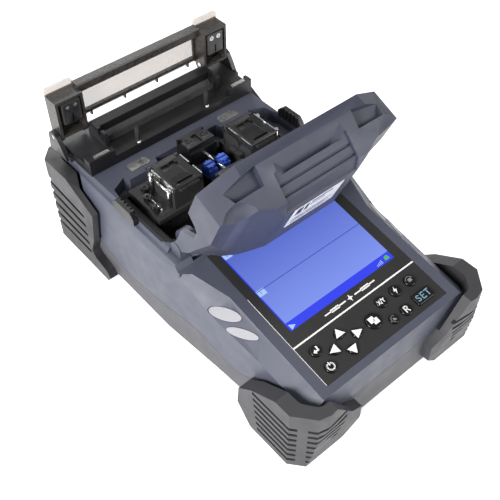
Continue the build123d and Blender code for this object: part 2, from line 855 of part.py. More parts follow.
def make_clamp_lid(side):
    low = 72.45
    with BuildPart() as lid:
        middle, span = across(side, CLAMP_IN + 0.8, CLAMP_OUT - 0.8)
        with BuildSketch(Plane.XY.offset(low)):
            with Locations((middle, (CLAMP_FRONT + 40.9) / 2)):
                Rectangle(span, 40.9 - CLAMP_FRONT)
        extrude(amount=CLAMP_TOP - low)
        top = lid.faces().sort_by(Axis.Z)[-1]
        chamfer(top.edges(), 0.5)
        # knuckle around the pin
        middle, span = across(side, 18.3, 32.7)
        with BuildSketch(Plane.YZ.offset(middle - span / 2)):
            with Locations((CLAMP_PIN_Y, CLAMP_PIN_Z)):
                Circle(2.2)
            with Locations((41.6, 73.6)):
                Rectangle(3, 2.3)
        extrude(amount=span)
        with BuildSketch(Plane.YZ):
            with Locations((CLAMP_PIN_Y, CLAMP_PIN_Z)):
                Circle(1.05)
        extrude(amount=side * 60, mode=Mode.SUBTRACT)
        # slot at the front, dished grip at the rear
        centre = side * (CLAMP_IN + CLAMP_OUT) / 2
        with BuildSketch(Plane.XY.offset(CLAMP_TOP - 0.9)):
            with Locations((centre, CLAMP_FRONT + 2.6)):
                SlotOverall(10, 1.6)
            with Locations((centre - 2.5, CLAMP_REAR - 5.2)):
                Rectangle(5, 4)
            with Locations((centre + 2.2, CLAMP_REAR - 5.2)):
                Circle(2.6)
        extrude(amount=2, mode=Mode.SUBTRACT)
        # lip that the finger lifts
        with BuildSketch(Plane.XY.offset(73.2)):
            with Locations((centre, CLAMP_FRONT - 0.9)):
                Rectangle(12, 2.0)
        extrude(amount=1.6)
    return lid


def make_clamp_pin(side):
    with BuildPart() as pin:
        middle, span = across(side, CLAMP_IN - 0.2, CLAMP_OUT + 0.2)
        with BuildSketch(Plane.YZ.offset(middle - span / 2)):
            with Locations((CLAMP_PIN_Y, CLAMP_PIN_Z)):
                Circle(1.0)
        extrude(amount=span)
    return pin


def make_clamp_strips(side):
    """Two bright edge strips beside each clamp lid, standing on the clamp block."""
    with BuildPart() as strips:
        for x in (CLAMP_IN + 0.35, CLAMP_OUT - 0.35):
            with BuildSketch(Plane.XY.offset(72.2)):
                with Locations((side * x, 26.0), (side * x, 36.9)):
                    Rectangle(0.7, 7.6)
            extrude(amount=CLAMP_TOP + 0.2 - 72.2)
    return strips


BLOCK_X = 4.4            # middle of each V-groove block beside the arc
BLOCK_STAR = 4.9         # side of the two crossed squares of the upper plate


def make_v_groove_blocks():
    with BuildPart() as blocks:
        for side in (-1, 1):
            with BuildSketch(Plane.XY.offset(61.6)):
                with Locations((side * BLOCK_X, FIBRE_Y)):
                    Rectangle(5.4, 7.4)
            extrude(amount=5.0)
            # eight-pointed upper plate
            with BuildSketch(Plane.XY.offset(66.6)):
                with Locations((side * BLOCK_X, FIBRE_Y)):
                    Rectangle(BLOCK_STAR, BLOCK_STAR)
                    Rectangle(BLOCK_STAR, BLOCK_STAR, rotation=45)
            extrude(amount=2.0)
            with BuildSketch(Plane.YZ):
                with BuildLine():
                    Polyline((FIBRE_Y, FIBRE_Z), (FIBRE_Y - 0.9, 69), (FIBRE_Y + 0.9, 69), close=True)
                make_face()
            extrude(amount=side * 12, mode=Mode.SUBTRACT)
            # gap for the arc between the blocks stays open
    return blocks


ELECTRODE_R = 1.0
ELECTRODE_GAP = 1.2


def make_electrodes():
    with BuildPart() as rods:
        for toward in (-1, 1):
            tip = FIBRE_Y + toward * ELECTRODE_GAP
            with BuildSketch(Plane.YZ):
                with BuildLine():
                    Polyline(
                        (tip, FIBRE_Z),
                        (tip + toward * 4.2, FIBRE_Z + ELECTRODE_R),
                        (tip + toward * 19, FIBRE_Z + ELECTRODE_R),
                        (tip + toward * 19, FIBRE_Z),
                        close=True,
                    )
                make_face()
            revolve(axis=Axis(origin=(0, 0, FIBRE_Z), direction=(0, 1, 0)))
    return rods


def near_edge(toward):
    """Edge of an electrode cover that faces the arc."""
    return FIBRE_Y + toward * 9.8


def make_electrode_covers():
    with BuildPart() as covers:
        for toward in (-1, 1):
            with BuildSketch(Plane.XY.offset(62.6)):
                with Locations((0, near_edge(toward) + toward * 6.5)):
                    Rectangle(17.4, 13)
            extrude(amount=10.4)
        chamfer(covers.faces().sort_by(Axis.Z)[-1].edges(), 0.8)
        chamfer(covers.faces().filter_by(Axis.Z).sort_by(Axis.Z)[-2].edges(), 0.8)
        with BuildSketch(Plane.XZ.offset(-FIBRE_Y - 40)):
            with Locations((0, FIBRE_Z)):
                Circle(ELECTRODE_R + 0.03)
        extrude(amount=80, mode=Mode.SUBTRACT)
        # slots and screw seats in the top
        for toward in (-1, 1):
            middle = FIBRE_Y + toward * 16.3
            with BuildSketch(Plane.XY.offset(72.0)):
                with Locations((-5.2, middle), (5.2, middle)):
                    Circle(1.9)
                with Locations((0, middle)):
                    Rectangle(3.4, 7)
            extrude(amount=2, mode=Mode.SUBTRACT)
            # step along the edge that faces the arc, and notches in both sides
            with BuildSketch(Plane.XY.offset(70.4)):
                with Locations((0, near_edge(toward) + toward * 1.0)):
                    Rectangle(20, 2.0)
                with Locations((-8.4, middle + toward * 3.6), (8.4, middle + toward * 3.6)):
                    Rectangle(2.4, 3.0)
            extrude(amount=4, mode=Mode.SUBTRACT)
    return covers


def make_electrode_cover_screws():
    with BuildPart() as screws:
        for toward in (-1, 1):
            middle = FIBRE_Y + toward * 16.3
            for x in (-5.2, 5.2):
                with BuildSketch(Plane.XY.offset(72.0)):
                    with Locations((x, middle)):
                        Circle(1.7)
                        Rectangle(2.6, 0.5, mode=Mode.SUBTRACT)
                extrude(amount=0.7)
                with BuildSketch(Plane.XY.offset(72.0)):
                    with Locations((x, middle)):
                        Circle(1.7)
                extrude(amount=0.3)
    return screws


def make_latch_plates():
    with BuildPart() as plates:
        with BuildSketch(Plane.XY.offset(DECK - 1.0)):
            for side in (-1, 1):
                add(latch_outline(side, 0.15))
        extrude(amount=1.2)
        with BuildSketch(Plane.XY.offset(DECK - 0.4)):
            with Locations((-27.9, 59.3), (27.9, 59.3)):
                Circle(2.1)
        extrude(amount=2, mode=Mode.SUBTRACT)
    return plates


def make_latch_screws():
    with BuildPart() as screws:
        with BuildSketch(Plane.XY.offset(DECK - 0.4)):
            with Locations((-27.9, 59.3), (27.9, 59.3)):
                Circle(1.95)
        extrude(amount=0.7)
        with BuildSketch(Plane.XY.offset(DECK)):
            with Locations((-27.9, 59.3), (27.9, 59.3)):
                Rectangle(2.6, 0.6)
                Rectangle(0.6, 2.6)
        extrude(amount=2, mode=Mode.SUBTRACT)
    return screws


def make_fibre_guides():
    """Ridged pads beside the tub that the fibres rest against."""
    with BuildPart() as guides:
        for side in (-1, 1):
            with BuildSketch(Plane.YZ.offset(side * 55.0)):
                with BuildLine():
                    Polyline((25, 62.4), (25, 66.5), (28, 69.6), (40, 69.6), (43.5, 66.5),
                             (43.5, 62.4), close=True)
                make_face()
            extrude(amount=side * 3.2)
            for i in range(6):
                with BuildSketch(Plane.YZ.offset(side * 55.0)):
                    with Locations((27.2 + 2.8 * i, 68)):
                        Rectangle(1.2, 9)
                extrude(amount=side * 0.8, mode=Mode.SUBTRACT)
    return guides


# --- wind cover -------------------------------------------------------------------------------
LID_HALF = 54.2
LID_DEPTH = 65.6
LID_CROWN = 25.4         # level of the flat top over the hinge axis
LID_WALL = 2.8
RECESS_WALL = 2.2        # wall left behind the recesses of the rear face
RIM = -1.2
LID_MIDDLE = 22.0        # half width of the stepped middle of the rear face


def lid_plane(a, b, c, facing):
    """Plane through three points (x, distance from the hinge, height over it) of the closed cover."""
    first, second, third = (LID.from_local_coords((u, v, x)) for x, u, v in (a, b, c))
    normal = (second - first).cross(third - first)
    if normal.dot(facing) < 0:
        normal = -normal
    return Plane(origin=first, z_dir=normal)


def lid_shape(inset):
    """The hipped solid of the closed wind cover, smaller by an inset on every outer face."""
    rear, front = LID_DEPTH - inset, -1.0 + inset
    half = LID_HALF - inset
    top = LID_CROWN - inset
    with BuildPart(mode=Mode.PRIVATE) as solid:
        # side view, across the whole width
        with BuildSketch(LID):
            with BuildLine():
                Polyline(
                    (front, RIM), (rear, RIM), (rear - 0.3, 4.0), (rear - 7.2, top - 7.0),
                    (rear - 8.8, top - 2.6), (rear - 17.0, top), (front + 17.0, top),
                    (front + 2.5, top - 10.4), (front, 12.4 - inset), close=True,
                )
            make_face()
        extrude(amount=half, both=True)
        # front view: the top falls away from a flat middle to both ends
        hips = [(22.5, 25.4), (27, 23.6), (33, 20.6), (38, 18.8), (45, 17.2), (LID_HALF + 6, 15.2)]
        left = [(inset * 0.2 - x, v - inset * 1.15) for x, v in hips]
        right = [(-x, v) for x, v in reversed(left)]
        with BuildSketch(LID_END):
            with BuildLine():
                Polyline((-LID_HALF - 6, -8), (LID_HALF + 6, -8), *right, *left, close=True)
            make_face()
        extrude(amount=120, both=True, mode=Mode.INTERSECT)
        # plan: the rear corners are cut back
        with BuildSketch(LID_TOP):
            with BuildLine():
                Polyline(
                    (-half, -10), (half, -10), (half, 55.5 - inset * 0.4), (36.6, rear),
                    (-36.6, rear), (-half, 55.5 - inset * 0.4), close=True,
                )
            make_face()
        extrude(amount=60, both=True, mode=Mode.INTERSECT)
        # the front ends slope up from the hinge in two facets
        for side in (-1, 1):
            ends = [
                ((side * 54.2, 1.1, 1.3), (side * 54.2, 10.3, 7.3), (side * 40.0, -1.0, 11.5)),
                ((side * 54.2, 10.3, 7.3), (side * 54.2, 26.5, 12.6), (side * 43.5, 13.9, 15.4)),
            ]
            for corner in ends:
                with BuildSketch(lid_plane(*corner, facing=LID_TOP.z_dir).offset(-inset)):
                    Rectangle(220, 220)
                extrude(amount=90, mode=Mode.SUBTRACT)
    return solid.part


def rear_prism(points):
    """Everything behind the liner whose end view has this outline."""
    with BuildPart(mode=Mode.PRIVATE) as prism:
        with BuildSketch(LID_END.offset(-48)):
            with BuildLine():
                Polyline(*points, close=True)
            make_face()
        extrude(amount=-40)
    return prism.part


def thumb_recess(grow):
    """Wedge under the middle ridge, deepest at its upper edge, with slanting side facets."""
    deep = 57.9 - grow
    with BuildPart(mode=Mode.PRIVATE) as recess:
        with BuildSketch(LID):
            with BuildLine():
                Polyline((65.6 - grow, 4.9 - grow), (deep, 11.1), (deep, 11.3 + grow), (70, 13.6 + grow),
                         (70, 4.9 - grow), close=True)
            make_face()
        extrude(amount=21.4 + grow, both=True)
        for side in (-1, 1):
            facet = lid_plane(
                (side * (21.4 + grow), 65.6, 4.9), (side * (12.7 + grow), 57.9, 11.1),
                (side * (21.4 + grow), 61.8, 12.0), facing=Vector(side, 0, 0),
            )
            with BuildSketch(facet):
                Rectangle(90, 90)
            extrude(amount=30, mode=Mode.SUBTRACT)
    return recess.part


def finger_pocket(side, grow):
    """Pocket in one rear lobe, deep at its inner wall and running out toward the end."""
    outline_points = [(28.6 - grow, 3.4 - grow), (46.4 + grow, 6.0 - grow), (44.6 + grow, 12.4 + grow),
                      (28.6 - grow, 12.2 + grow)]
    floor = lid_plane(
        (side * 28.6, 61.6 - grow, 3.4), (side * 28.6, 57.9 - grow, 12.2), (side * 46.5, 59.2 - grow, 8.0),
        facing=-LID.x_dir,
    )
    with BuildPart(mode=Mode.PRIVATE) as pocket:
        add(rear_prism([(side * x, v) for x, v in outline_points]))
        with BuildSketch(floor):
            Rectangle(160, 160)
        extrude(amount=60, mode=Mode.SUBTRACT)
    return pocket.part


def thumb_dent(side, grow):
    """Ball that hollows the rear corner of one lobe."""
    with BuildPart(mode=Mode.PRIVATE) as ball:
        with Locations(LID.from_local_coords((60.2, 22.6, side * 46.0))):
            Sphere(10.2 + grow)
    return ball.part


def lid_hollows(grow):
    """The recess, pockets and dents of the rear face, each larger all round by an amount."""
    hollows = [thumb_recess(grow)]
    for side in (-1, 1):
        hollows.append(finger_pocket(side, grow))
        hollows.append(thumb_dent(side, grow))
    return hollows


def make_wind_cover():
    with BuildPart() as cover:
        add(lid_shape(0))
        # cavity
        add(lid_shape(LID_WALL), mode=Mode.SUBTRACT)
        with BuildSketch(LID_TOP.offset(RIM - 0.5)):
            with BuildLine():
                Polyline((-51.4, 4.2), (51.4, 4.2), (51.4, 54.4), (35.6, 62.8), (-35.6, 62.8),
                         (-51.4, 54.4), close=True)
            make_face()
        extrude(amount=4, mode=Mode.SUBTRACT)
        # the wall follows every recess on the inside
        for hollow in lid_hollows(RECESS_WALL):
            add(hollow & lid_shape(0.4))
        # the middle of the rear face stands back behind the two lobes and carries two ridges
        with BuildSketch(LID):
            with BuildLine():
                Polyline((61.2, 9.8), (57.5, 17.8), (55.9, 21.9), (49.5, 24.1), (48.6, 27),
                         (64, 27), (64, 10.4), close=True)
            make_face()
        extrude(amount=LID_MIDDLE, both=True, mode=Mode.SUBTRACT)
        for u, v in ((58.3, 15.4), (56.3, 20.0)):
            with BuildSketch(LID):
                with Locations((u, v)):
                    Circle(0.7)
            extrude(amount=LID_MIDDLE, both=True, mode=Mode.SUBTRACT)
        for hollow in lid_hollows(0):
            add(hollow, mode=Mode.SUBTRACT)
        # hinge arms
        for side in (-1, 1):
            with BuildSketch(LID.offset(side * 42.9)):
                Circle(7.4)
                with BuildLine():
                    Polyline((0, -1.0), (12, -1.0), (12, 9), (5, 9.5), (-3, 6.6), close=True)
                make_face()
            extrude(amount=side * 5.2)
        with BuildSketch(LID):
            Circle(2.06)
        extrude(amount=60, both=True, mode=Mode.SUBTRACT)
        # the corners clear the hinge towers
        for side in (-1, 1):
            with BuildSketch(LID.offset(side * 48.2)):
                Circle(6.2)
            extrude(amount=side * 10, mode=Mode.SUBTRACT)
        # notches in both end walls where the fibres pass
        with BuildSketch(LID):
            with BuildLine():
                Polyline((17.8, -3), (39.4, -3), (34.6, 5.3), (32.6, 7.0), (26.2, 6.8), close=True)
            make_face()
        extrude(amount=60, both=True, mode=Mode.SUBTRACT)
        # seat of the label plate
        with BuildSketch(LID_TOP.offset(25.0)):
            with Locations((0, 37.2)):
                Rectangle(31.4, 18.6)
        extrude(amount=3, mode=Mode.SUBTRACT)
    return cover


def make_label_plate():
    with BuildPart() as plate:
        with BuildSketch(LID_TOP.offset(25.0)):
            with Locations((0, 37.2)):
                RectangleRounded(31.0, 18.2, 0.5)
        extrude(amount=0.5)
    return plate


def make_wind_cover_pins():
    with BuildPart() as pins:
        for side in (-1, 1):
            with BuildSketch(Plane.YZ.offset(side * 42.4)):
                with Locations((LID_AXIS_Y, LID_AXIS_Z)):
                    Circle(2.0)
            extrude(amount=side * 9.7)
    return pins


def make_wind_cover_liner():
    """Black foam frame inside the cover that closes on the tub floor."""
    with BuildPart() as liner:
        with BuildSketch(LID_TOP.offset(8.2)):
            with BuildLine():
                Polyline((-40, 16), (40, 16), (49.0, 27), (49.0, 46.0), (36.0, 53.2), (-36.0, 53.2),
                         (-49.0, 46.0), (-49.0, 27), close=True)
            make_face()
            with BuildLine():
                Polyline((-38.8, 18), (38.8, 18), (46.8, 27.8), (46.8, 44.6), (35.4, 51), (-35.4, 51),
                         (-46.8, 44.6), (-46.8, 27.8), close=True)
            make_face(mode=Mode.SUBTRACT)
        extrude(amount=3.0)
    return liner


def make_fibre_pressers():
    """Two sprung feet inside the wind cover that hold the fibres in their V-grooves."""
    reach = FIBRE_Y - LID_AXIS_Y
    with BuildPart() as pressers:
        for side in (-1, 1):
            with BuildSketch(LID_TOP.offset(2.2)):
                with Locations((side * 4.6, reach)):
                    Rectangle(3.6, 4.4)
            extrude(amount=4.8)
            with BuildSketch(LID_TOP.offset(7.0)):
                with Locations((side * 4.6, reach)):
                    Circle(1.5)
            extrude(amount=12.0)
            with BuildSketch(LID_TOP.offset(17.0)):
                with Locations((side * 4.6, reach)):
                    Rectangle(7.4, 9.0)
            extrude(amount=5.0)
    return pressers


# --- tube heater --------------------------------------------------------------------------------
HEATER_HALF = 55.3
HEATER_FRONT = 66.8
# side view of the ear that holds the hinge pin
EAR = [(84, 66.5), (88, 74), (91, 78.4), (93, 79.4), (97, 79.4), (99, 77.6), (100.5, 66.5)]


def make_heater_body():
    with BuildPart() as body:
        with BuildSketch(Plane.XY.offset(DECK)):
            with BuildLine():
                Polyline((-HEATER_HALF, HEATER_FRONT), (HEATER_HALF, HEATER_FRONT), (HEATER_HALF, 100.5),
                         (-HEATER_HALF, 100.5), close=True)
            make_face()
        extrude(amount=5.6)
        # central trough block with its three front rails
        with BuildSketch(Plane.YZ):
            with BuildLine():
                Polyline(
                    (HEATER_FRONT, 70), (HEATER_FRONT, 74.5), (HEATER_FRONT + 0.9, 75.4),
                    (HEATER_FRONT + 0.9, 79.6), (69.9, 79.6), (69.9, 75.4), (75.6, 75.4), (75.9, 79.2),
                    (78.2, 79.2), (78.2, 70), (83.6, 70), (83.6, 79.2), (88.6, 79.2), (89.6, 76.8),
                    (92.6, 76.8), (92.6, 70), close=True,
                )
            make_face()
        extrude(amount=39.2, both=True)
        # end walls of the trough with notches for the fibre
        with BuildSketch(Plane.XZ.offset(-75.9)):
            with Locations((-38.2, 74), (38.2, 74)):
                Rectangle(2, 10.4)
        extrude(amount=-12.7)
        # front bars that carry the magnets
        with BuildSketch(Plane.XY.offset(70)):
            with Locations((-47.2, HEATER_FRONT + 1.75), (47.2, HEATER_FRONT + 1.75)):
                Rectangle(16.2, 3.5)
            with Locations((-54.35, 69.3), (54.35, 69.3)):
                Rectangle(1.9, 5.0)
        extrude(amount=4.6)
        # side ears with the hinge bores
        for side in (-1, 1):
            with BuildSketch(Plane.YZ.offset(side * 56.9)):
                with BuildLine():
                    Polyline(*EAR, close=True)
                make_face()
            extrude(amount=side * 2.6)
        with BuildSketch(Plane.XY.offset(66.5)):
            with Locations((-56.6, 91), (56.6, 91)):
                Rectangle(3.2, 18)
        extrude(amount=3.0)
        with BuildSketch(Plane.YZ):
            with Locations((HEATER_AXIS_Y, HEATER_AXIS_Z)):
                Circle(1.5)
        extrude(amount=70, both=True, mode=Mode.SUBTRACT)
        # notches that split the front rail into three
        with BuildSketch(Plane.XY.offset(70.6)):
            with Locations((-23.4, HEATER_FRONT + 1.0), (23.4, HEATER_FRONT + 1.0)):
                Rectangle(3.2, 7.0)
        extrude(amount=14, mode=Mode.SUBTRACT)
        # way for the fibre through the end walls
        with BuildSketch(Plane.YZ):
            with Locations((80.9, 78)):
                Rectangle(2.6, 6)
        extrude(amount=60, both=True, mode=Mode.SUBTRACT)
    return body


def make_heater_plate():
    with BuildPart() as plate:
        with BuildSketch(Plane.YZ):
            with BuildLine():
                Polyline((78.3, 70.7), (83.5, 70.7), (83.5, 74.6), (80.9, 72.2), (78.3, 74.6), close=True)
            make_face()
        extrude(amount=36.8, both=True)
    return plate


def make_heater_magnets():
    with BuildPart() as magnets:
        with BuildSketch(Plane.XY.offset(74.6)):
            with Locations((-46.6, HEATER_FRONT + 1.8), (46.6, HEATER_FRONT + 1.8)):
                RectangleRounded(9.4, 2.2, 0.5)
        extrude(amount=0.5)
    return magnets


def make_heater_lights():
    with BuildPart() as lights:
        with BuildSketch(Plane.XY.offset(70.6)):
            with Locations((-23.4, HEATER_FRONT + 1.2), (23.4, HEATER_FRONT + 1.2)):
                Circle(1.1)
        extrude(amount=1.0)
        fillet(lights.faces().filter_by(Axis.Z).group_by(Axis.Z)[-1].edges(), 0.4)
    return lights


def make_heater_cover():
    with BuildPart() as cover:
        # back panel, top flange and inner rib, standing open
        with BuildSketch(Plane.YZ):
            with BuildLine():
                Polyline((98.9, 77.2), (100.5, 77.2), (100.5, 100.2), (99.6, 101.0), (94.6, 101.0),
                         (94.2, 100.4), (94.2, 96.2), (98.9, 96.2), close=True)
            make_face()
            with Locations((97.6, 81)):
                Rectangle(2.8, 1.8)
        extrude(amount=40.4, both=True)
        # pegs under the rib
        with BuildSketch(Plane.XZ.offset(-96.8)):
            with Locations((-33, 78.6), (-11, 78.6), (11, 78.6), (33, 78.6)):
                Rectangle(1.0, 3.4)
        extrude(amount=-2.2)
        for side in (-1, 1):
            # end pod: an open box that holds the clamp block
            middle, span = across(side, 39.9, 56.5)
            with BuildSketch(Plane.XZ.offset(-90.2)):
                with Locations((middle, 87.6)):
                    Rectangle(span, 22.8)
            extrude(amount=-10.3)
            with BuildSketch(Plane.XZ.offset(-90.2 + 1)):
                with Locations((middle, 87.6)):
                    Rectangle(span - 3.0, 19.8)
            extrude(amount=-10.3, mode=Mode.SUBTRACT)
            # finger tab
            middle, span = across(side, 40.2, 56.5)
            with BuildSketch(Plane.XZ.offset(-98.9)):
                with Locations((middle, 100.4)):
                    RectangleRounded(span, 6.4, 1.8)
            extrude(amount=-1.6)
            # lug around the hinge pin
            for a, b in ((39.9, 42.1), (54.3, 56.5)):
                middle, span = across(side, a, b)
                with BuildSketch(Plane.YZ.offset(middle - span / 2)):
                    with Locations((HEATER_AXIS_Y, HEATER_AXIS_Z)):
                        Circle(4.0)
                    with Locations((HEATER_AXIS_Y + 1.5, HEATER_AXIS_Z + 2)):
                        Rectangle(6.5, 4)
                extrude(amount=span)
        with BuildSketch(Plane.YZ):
            with Locations((HEATER_AXIS_Y, HEATER_AXIS_Z)):
                Circle(1.56)
        extrude(amount=70, both=True, mode=Mode.SUBTRACT)
    return cover


def make_heater_clamp_blocks():
    with BuildPart() as blocks:
        for side in (-1, 1):
            middle, span = across(side, 42.6, 53.2)
            with BuildSketch(Plane.XZ.offset(-89.6)):
                with Locations((middle, 90.6)):
                    Rectangle(span, 12.6)
            extrude(amount=-8.4)
            with BuildSketch(Plane.XZ.offset(-89.6)):
                with Locations((side * 45.4, 94.4), (side * 50.2, 94.4)):
                    Circle(1.5)
            extrude(amount=-1.0, mode=Mode.SUBTRACT)
            with BuildSketch(Plane.XZ.offset(-89.6)):
                with Locations((middle, 87.2)):
                    Rectangle(0.8, 5.0)
            extrude(amount=-1.2, mode=Mode.SUBTRACT)
    return blocks


def make_heater_clamp_screws():
    with BuildPart() as screws:
        for side in (-1, 1):
            for x in (45.4, 50.2):
                with BuildSketch(Plane.XZ.offset(-90.6)):
                    with Locations((side * x, 94.4)):
                        Circle(1.4)
                extrude(amount=1.1)
                with BuildSketch(Plane.XZ.offset(-89.9)):
                    with Locations((side * x, 94.4)):
                        Rectangle(2.0, 0.5)
                        Rectangle(0.5, 2.0)
                extrude(amount=1.5, mode=Mode.SUBTRACT)
    return screws


def make_heater_hinge_pins():
    with BuildPart() as pins:
        for side in (-1, 1):
            middle, span = across(side, 39.6, 59.3)
            with BuildSketch(Plane.YZ.offset(middle - span / 2)):
                with Locations((HEATER_AXIS_Y, HEATER_AXIS_Z)):
                    Circle(1.5)
            extrude(amount=span)
    return pins


# --- write every piece ----------------------------------------------------------------------------
keep(make_base_shell(), "base_shell")
keep(make_upper_housing(), "upper_housing")
keep(make_base_screws(), "base_screws")
keep(make_tripod_socket(), "tripod_socket")
keep(make_battery_pack(), "battery_pack")
keep(make_main_board(), "main_board")
keep(make_arc_unit(), "arc_unit")
keep(make_drive_motors(), "drive_motors")
keep(make_microscopes(), "microscopes")
keep(make_power_inlet(), "power_inlet")
keep(make_side_inlays(), "side_inlays")
keep(make_screen_glass(), "screen_glass")
keep(make_lcd_module(), "lcd_module")
keep(make_keypad_board(), "keypad_board")
for key_name, key_spot, key_shape in key_outlines():
    keep(make_key(key_spot, key_shape), key_name)
keep(make_stage_tray(), "stage_tray")
keep(make_v_groove_blocks(), "v_groove_blocks")
keep(make_electrodes(), "electrodes")
keep(make_electrode_covers(), "electrode_covers")
keep(make_electrode_cover_screws(), "electrode_cover_screws")
keep(make_latch_plates(), "latch_plates")
keep(make_latch_screws(), "latch_screws")
keep(make_fibre_guides(), "fibre_guides")
for hand, side_name in ((-1, "left"), (1, "right")):
    keep(make_front_bumper(hand), f"bumper_front_{side_name}")
    keep(make_rear_bumper(hand), f"bumper_rear_{side_name}")
    keep(make_carriage(hand), f"carriage_{side_name}")
    keep(make_clamp_lid(hand), f"clamp_lid_{side_name}")
    keep(make_clamp_pin(hand), f"clamp_pin_{side_name}")
    keep(make_clamp_strips(hand), f"clamp_strips_{side_name}")
keep(make_wind_cover(), "wind_cover")
keep(make_wind_cover_liner(), "wind_cover_liner")
keep(make_wind_cover_pins(), "wind_cover_pins")
keep(make_label_plate(), "label_plate")
keep(make_fibre_pressers(), "fibre_pressers")
keep(make_heater_body(), "heater_body")
keep(make_heater_plate(), "heater_plate")
keep(make_heater_magnets(), "heater_magnets")
keep(make_heater_lights(), "heater_lights")
keep(make_heater_cover(), "heater_cover")
keep(make_heater_clamp_blocks(), "heater_clamp_blocks")
keep(make_heater_clamp_screws(), "heater_clamp_screws")
keep(make_heater_hinge_pins(), "heater_hinge_pins")
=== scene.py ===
import json
from math import cos, pi, radians, sin

import bmesh
import bpy
from mathutils import Matrix, Vector


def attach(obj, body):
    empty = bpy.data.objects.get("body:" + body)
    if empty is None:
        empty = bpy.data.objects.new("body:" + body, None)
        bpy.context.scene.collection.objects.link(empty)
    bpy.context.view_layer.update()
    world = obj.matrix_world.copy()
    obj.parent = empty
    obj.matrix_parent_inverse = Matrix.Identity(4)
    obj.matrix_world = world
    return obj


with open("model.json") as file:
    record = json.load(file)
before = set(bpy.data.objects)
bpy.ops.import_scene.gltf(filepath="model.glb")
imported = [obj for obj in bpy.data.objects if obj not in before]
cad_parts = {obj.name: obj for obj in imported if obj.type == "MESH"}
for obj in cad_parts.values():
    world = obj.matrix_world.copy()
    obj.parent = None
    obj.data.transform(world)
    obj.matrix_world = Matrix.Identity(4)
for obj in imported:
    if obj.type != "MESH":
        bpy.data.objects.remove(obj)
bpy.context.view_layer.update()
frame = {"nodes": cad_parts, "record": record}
nodes = frame["nodes"]
MM = 0.001


# --- material building blocks ------------------------------------------------------------------
def new_material(name):
    mat = bpy.data.materials.new(name)
    mat.use_nodes = True
    tree = mat.node_tree
    return mat, tree, tree.nodes["Principled BSDF"]


def noise(tree, scale, detail=2.0):
    coords = tree.nodes.new("ShaderNodeTexCoord")
    tex = tree.nodes.new("ShaderNodeTexNoise")
    tex.inputs["Scale"].default_value = scale
    tex.inputs["Detail"].default_value = detail
    tex.inputs["Roughness"].default_value = 0.5
    tree.links.new(coords.outputs["Object"], tex.inputs["Vector"])
    return tex.outputs["Fac"]


def places(tree):
    """X, Y and Z of the shaded point, in metres."""
    coords = tree.nodes.new("ShaderNodeTexCoord")
    split = tree.nodes.new("ShaderNodeSeparateXYZ")
    tree.links.new(coords.outputs["Object"], split.inputs["Vector"])
    return split.outputs["X"], split.outputs["Y"], split.outputs["Z"]


def ramp(tree, fac, stops):
    """Colour that runs from the first (position, colour) stop to the second."""
    node = tree.nodes.new("ShaderNodeValToRGB")
    for element, (position, colour) in zip(node.color_ramp.elements, stops):
        element.position = position
        element.color = (*colour, 1)
    tree.links.new(fac, node.inputs["Fac"])
    return node.outputs["Color"]


def to_range(tree, fac, low, high, from_low=0.0, from_high=1.0):
    node = tree.nodes.new("ShaderNodeMapRange")
    node.inputs["From Min"].default_value = from_low
    node.inputs["From Max"].default_value = from_high
    node.inputs["To Min"].default_value = low
    node.inputs["To Max"].default_value = high
    tree.links.new(fac, node.inputs["Value"])
    return node.outputs["Result"]


def above(tree, value, start, width):
    """0 below the start, 1 above it, with a short fade between."""
    return to_range(tree, value, 0.0, 1.0, start, start + width)


def below(tree, value, start, width):
    """1 below the start, 0 above it, with a short fade between."""
    return to_range(tree, value, 1.0, 0.0, start, start + width)


def maths(tree, operation, *values):
    node = tree.nodes.new("ShaderNodeMath")
    node.operation = operation
    for value, socket in zip(values, node.inputs):
        tree.links.new(value, socket)
    return node.outputs["Value"]


def mix(tree, fac, a, b):
    node = tree.nodes.new("ShaderNodeMix")
    node.data_type = "RGBA"
    tree.links.new(fac, node.inputs["Factor"])
    for value, socket in ((a, node.inputs["A"]), (b, node.inputs["B"])):
        if isinstance(value, tuple):
            socket.default_value = (*value, 1)
        else:
            tree.links.new(value, socket)
    return node.outputs["Result"]


def bump(tree, shader, height, strength, distance):
    node = tree.nodes.new("ShaderNodeBump")
    node.inputs["Strength"].default_value = strength
    node.inputs["Distance"].default_value = distance
    tree.links.new(height, node.inputs["Height"])
    tree.links.new(node.outputs["Normal"], shader.inputs["Normal"])


def edges(tree, low, high):
    """White along convex edges: a painted edge highlight."""
    geo = tree.nodes.new("ShaderNodeNewGeometry")
    return to_range(tree, geo.outputs["Pointiness"], 0.0, 1.0, low, high)


def uneven_roughness(tree, shader, fac, rough):
    """Roughness that wanders round one value, as on a handled surface."""
    tree.links.new(to_range(tree, fac, rough - 0.06, rough + 0.08, 0.3, 0.7), shader.inputs["Roughness"])


# --- materials -------------------------------------------------------------------------------
CLOUD_SCALE = 38            # slow change of shade across a moulding
SMUDGE_SCALE = 120          # change of gloss
GRAIN_DEPTH = 0.00006       # metres
BRUSH_DEPTH = 0.00004
BRUSH_STRETCH = 14          # how much longer than wide a brushed scratch is


def plastic(name, colour, light, rough, grain=2600, strength=0.35, highlight_strength=0.5, metallic=0.0, spec=0.5):
    """Moulded plastic: spark-eroded grain, faint cloudy variation, painted highlight along convex edges."""
    mat, tree, shader = new_material(name)
    cloud = noise(tree, CLOUD_SCALE, 3)
    base = ramp(tree, cloud, [(0.3, colour), (0.75, tuple(c * 1.14 for c in colour))])
    # painted highlight: convex edges are mixed towards the lighter edge colour
    painted_highlight = edges(tree, 0.53, 0.62)
    fade = to_range(tree, painted_highlight, 0.0, highlight_strength)
    tree.links.new(mix(tree, fade, base, light), shader.inputs["Base Color"])
    uneven_roughness(tree, shader, noise(tree, SMUDGE_SCALE, 4), rough)
    shader.inputs["Metallic"].default_value = metallic
    shader.inputs["Specular IOR Level"].default_value = spec
    bump(tree, shader, noise(tree, grain, 2), strength, GRAIN_DEPTH)
    return mat


